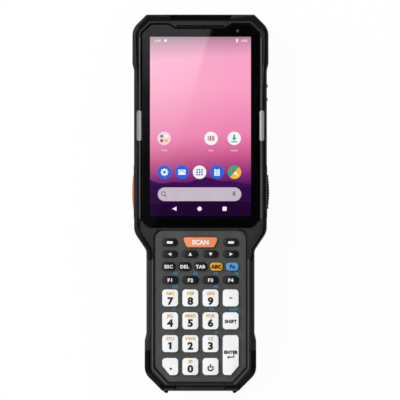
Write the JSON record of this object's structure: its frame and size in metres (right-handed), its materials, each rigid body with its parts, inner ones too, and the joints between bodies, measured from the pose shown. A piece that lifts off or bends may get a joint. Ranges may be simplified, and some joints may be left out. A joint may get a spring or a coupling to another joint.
{
  "type": "portable barcode data terminal",
  "caption": "Handheld data terminal: touch display over a raised keypad, scan window in the nose, rubber bumpers, side scan keys, hinged battery cover and port flap.",
  "frame": {"origin": "middle of the housing's bounding box, on the table under its back", "axes": "+Z out of the display, +Y towards the scanner end, +X to the right as the display is read"},
  "size_m": [0.0758, 0.21, 0.035],
  "materials": {
    "front_plastic": "fine-grained dark grey moulded plastic",
    "rear_plastic": "grained near-black moulded plastic",
    "bezel_plastic": "smooth mid-grey moulded plastic",
    "bumper_rubber": "matt black overmoulded rubber",
    "seal_rubber": "black sealing rubber",
    "silicone": "grey silicone",
    "display_glass": "black-bordered cover glass",
    "display_metal": "thin metal display frame",
    "circuit_board": "solder-masked circuit board",
    "light_pipe": "frosted clear plastic",
    "mesh_metal": "black fine mesh",
    "lens_black": "black lens barrel",
    "engine_plastic": "black moulded plastic",
    "scan_glass": "dark red filter window",
    "screw_steel": "steel",
    "contact_brass": "gold-plated contact blades in a block",
    "pack_plastic": "dark plastic battery case",
    "white_key": "hard white key cap",
    "black_key": "hard black key cap",
    "orange_key": "orange key cap",
    "yellow_key": "yellow key cap",
    "blue_key": "blue key cap"
  },
  "bodies": {
    "housing": {"front_case": "front_plastic", "rear_case": "rear_plastic", "case_gasket": "seal_rubber", "head_bumper": "bumper_rubber", "grip_strips": "bumper_rubber", "tail_bumper": "bumper_rubber", "display_window": "display_glass", "display_module": "display_metal", "keypad_bezel": "bezel_plastic", "keypad_mat": "silicone", "keypad_board": "circuit_board", "status_light_pipes": "light_pipe", "earpiece": "mesh_metal", "front_camera": "lens_black", "main_board": "circuit_board", "scan_engine": "engine_plastic", "scan_window": "scan_glass", "loudspeaker": "engine_plastic", "rear_camera": "lens_black", "case_screws": "screw_steel", "battery_contacts": "contact_brass", "battery_pack": "pack_plastic", "tail_connector": "engine_plastic", "cover_hinge_pin": "screw_steel"},
    "battery_cover": {"battery_cover": "rear_plastic"},
    "usb_flap": {"usb_flap": "seal_rubber"},
    "left_scan_key": {"left_scan_key": "orange_key"},
    "right_scan_key": {"right_scan_key": "black_key"},
    "volume_rocker": {"volume_rocker": "black_key"},
    "key_scan": {"key_scan": "orange_key"},
    "key_soft_left": {"key_soft_left": "black_key"},
    "key_soft_right": {"key_soft_right": "black_key"},
    "key_left": {"key_left": "black_key"},
    "key_up": {"key_up": "black_key"},
    "key_down": {"key_down": "black_key"},
    "key_right": {"key_right": "black_key"},
    "key_esc": {"key_esc": "black_key"},
    "key_delete": {"key_delete": "black_key"},
    "key_tab": {"key_tab": "black_key"},
    "key_alpha": {"key_alpha": "yellow_key"},
    "key_fn": {"key_fn": "blue_key"},
    "key_f1": {"key_f1": "black_key"},
    "key_f2": {"key_f2": "black_key"},
    "key_f3": {"key_f3": "black_key"},
    "key_f4": {"key_f4": "black_key"},
    "key_7": {"key_7": "white_key"},
    "key_8": {"key_8": "white_key"},
    "key_9": {"key_9": "white_key"},
    "key_minus": {"key_minus": "white_key"},
    "key_4": {"key_4": "white_key"},
    "key_5": {"key_5": "white_key"},
    "key_6": {"key_6": "white_key"},
    "key_shift": {"key_shift": "white_key"},
    "key_1": {"key_1": "white_key"},
    "key_2": {"key_2": "white_key"},
    "key_3": {"key_3": "white_key"},
    "key_enter": {"key_enter": "white_key"},
    "key_period": {"key_period": "white_key"},
    "key_0": {"key_0": "white_key"},
    "key_power": {"key_power": "white_key"}
  },
  "joints": [
    {"name": "battery_cover_hinge", "type": "hinge", "parent": "housing", "child": "battery_cover", "pos_m": [0, -0.0732, 0.0088], "axis": [1, 0, 0], "range_deg": [-90, 0]},
    {"name": "usb_flap_hinge", "type": "hinge", "parent": "housing", "child": "usb_flap", "pos_m": [0, -0.1029, 0.0099], "axis": [1, 0, 0], "range_deg": [0, 100]},
    {"name": "left_scan_key_press", "type": "slide", "parent": "housing", "child": "left_scan_key", "axis": [1, 0, 0], "range_m": [0, 0.0006], "stiffness_N_per_m": 3000},
    {"name": "right_scan_key_press", "type": "slide", "parent": "housing", "child": "right_scan_key", "axis": [-1, 0, 0], "range_m": [0, 0.0006], "stiffness_N_per_m": 3000},
    {"name": "volume_rock", "type": "hinge", "parent": "housing", "child": "volume_rocker", "pos_m": [0.0307, 0.0617, 0], "axis": [0, 0, 1], "range_deg": [-2, 2], "stiffness_Nm_per_rad": 0.12},
    {"name": "key_scan_press", "type": "slide", "parent": "housing", "child": "key_scan", "axis": [0, 0, -1], "range_m": [0, 0.0007], "stiffness_N_per_m": 1500},
    {"name": "key_soft_left_press", "type": "slide", "parent": "housing", "child": "key_soft_left", "axis": [0, 0, -1], "range_m": [0, 0.0007], "stiffness_N_per_m": 1200},
    {"name": "key_soft_right_press", "type": "slide", "parent": "housing", "child": "key_soft_right", "axis": [0, 0, -1], "range_m": [0, 0.0007], "stiffness_N_per_m": 1200},
    {"name": "key_left_press", "type": "slide", "parent": "housing", "child": "key_left", "axis": [0, 0, -1], "range_m": [0, 0.0007], "stiffness_N_per_m": 1200},
    {"name": "key_up_press", "type": "slide", "parent": "housing", "child": "key_up", "axis": [0, 0, -1], "range_m": [0, 0.0007], "stiffness_N_per_m": 1200},
    {"name": "key_down_press", "type": "slide", "parent": "housing", "child": "key_down", "axis": [0, 0, -1], "range_m": [0, 0.0007], "stiffness_N_per_m": 1200},
    {"name": "key_right_press", "type": "slide", "parent": "housing", "child": "key_right", "axis": [0, 0, -1], "range_m": [0, 0.0007], "stiffness_N_per_m": 1200},
    {"name": "key_esc_press", "type": "slide", "parent": "housing", "child": "key_esc", "axis": [0, 0, -1], "range_m": [0, 0.0007], "stiffness_N_per_m": 1200},
    {"name": "key_delete_press", "type": "slide", "parent": "housing", "child": "key_delete", "axis": [0, 0, -1], "range_m": [0, 0.0007], "stiffness_N_per_m": 1200},
    {"name": "key_tab_press", "type": "slide", "parent": "housing", "child": "key_tab", "axis": [0, 0, -1], "range_m": [0, 0.0007], "stiffness_N_per_m": 1200},
    {"name": "key_alpha_press", "type": "slide", "parent": "housing", "child": "key_alpha", "axis": [0, 0, -1], "range_m": [0, 0.0007], "stiffness_N_per_m": 1200},
    {"name": "key_fn_press", "type": "slide", "parent": "housing", "child": "key_fn", "axis": [0, 0, -1], "range_m": [0, 0.0007], "stiffness_N_per_m": 1200},
    {"name": "key_f1_press", "type": "slide", "parent": "housing", "child": "key_f1", "axis": [0, 0, -1], "range_m": [0, 0.0007], "stiffness_N_per_m": 1200},
    {"name": "key_f2_press", "type": "slide", "parent": "housing", "child": "key_f2", "axis": [0, 0, -1], "range_m": [0, 0.0007], "stiffness_N_per_m": 1200},
    {"name": "key_f3_press", "type": "slide", "parent": "housing", "child": "key_f3", "axis": [0, 0, -1], "range_m": [0, 0.0007], "stiffness_N_per_m": 1200},
    {"name": "key_f4_press", "type": "slide", "parent": "housing", "child": "key_f4", "axis": [0, 0, -1], "range_m": [0, 0.0007], "stiffness_N_per_m": 1200},
    {"name": "key_7_press", "type": "slide", "parent": "housing", "child": "key_7", "axis": [0, 0, -1], "range_m": [0, 0.0007], "stiffness_N_per_m": 1500},
    {"name": "key_8_press", "type": "slide", "parent": "housing", "child": "key_8", "axis": [0, 0, -1], "range_m": [0, 0.0007], "stiffness_N_per_m": 1500},
    {"name": "key_9_press", "type": "slide", "parent": "housing", "child": "key_9", "axis": [0, 0, -1], "range_m": [0, 0.0007], "stiffness_N_per_m": 1500},
    {"name": "key_minus_press", "type": "slide", "parent": "housing", "child": "key_minus", "axis": [0, 0, -1], "range_m": [0, 0.0007], "stiffness_N_per_m": 1500},
    {"name": "key_4_press", "type": "slide", "parent": "housing", "child": "key_4", "axis": [0, 0, -1], "range_m": [0, 0.0007], "stiffness_N_per_m": 1500},
    {"name": "key_5_press", "type": "slide", "parent": "housing", "child": "key_5", "axis": [0, 0, -1], "range_m": [0, 0.0007], "stiffness_N_per_m": 1500},
    {"name": "key_6_press", "type": "slide", "parent": "housing", "child": "key_6", "axis": [0, 0, -1], "range_m": [0, 0.0007], "stiffness_N_per_m": 1500},
    {"name": "key_shift_press", "type": "slide", "parent": "housing", "child": "key_shift", "axis": [0, 0, -1], "range_m": [0, 0.0007], "stiffness_N_per_m": 1500},
    {"name": "key_1_press", "type": "slide", "parent": "housing", "child": "key_1", "axis": [0, 0, -1], "range_m": [0, 0.0007], "stiffness_N_per_m": 1500},
    {"name": "key_2_press", "type": "slide", "parent": "housing", "child": "key_2", "axis": [0, 0, -1], "range_m": [0, 0.0007], "stiffness_N_per_m": 1500},
    {"name": "key_3_press", "type": "slide", "parent": "housing", "child": "key_3", "axis": [0, 0, -1], "range_m": [0, 0.0007], "stiffness_N_per_m": 1500},
    {"name": "key_enter_press", "type": "slide", "parent": "housing", "child": "key_enter", "axis": [0, 0, -1], "range_m": [0, 0.0007], "stiffness_N_per_m": 1500},
    {"name": "key_period_press", "type": "slide", "parent": "housing", "child": "key_period", "axis": [0, 0, -1], "range_m": [0, 0.0007], "stiffness_N_per_m": 1500},
    {"name": "key_0_press", "type": "slide", "parent": "housing", "child": "key_0", "axis": [0, 0, -1], "range_m": [0, 0.0007], "stiffness_N_per_m": 1500},
    {"name": "key_power_press", "type": "slide", "parent": "housing", "child": "key_power", "axis": [0, 0, -1], "range_m": [0, 0.0007], "stiffness_N_per_m": 1500}
  ]
}
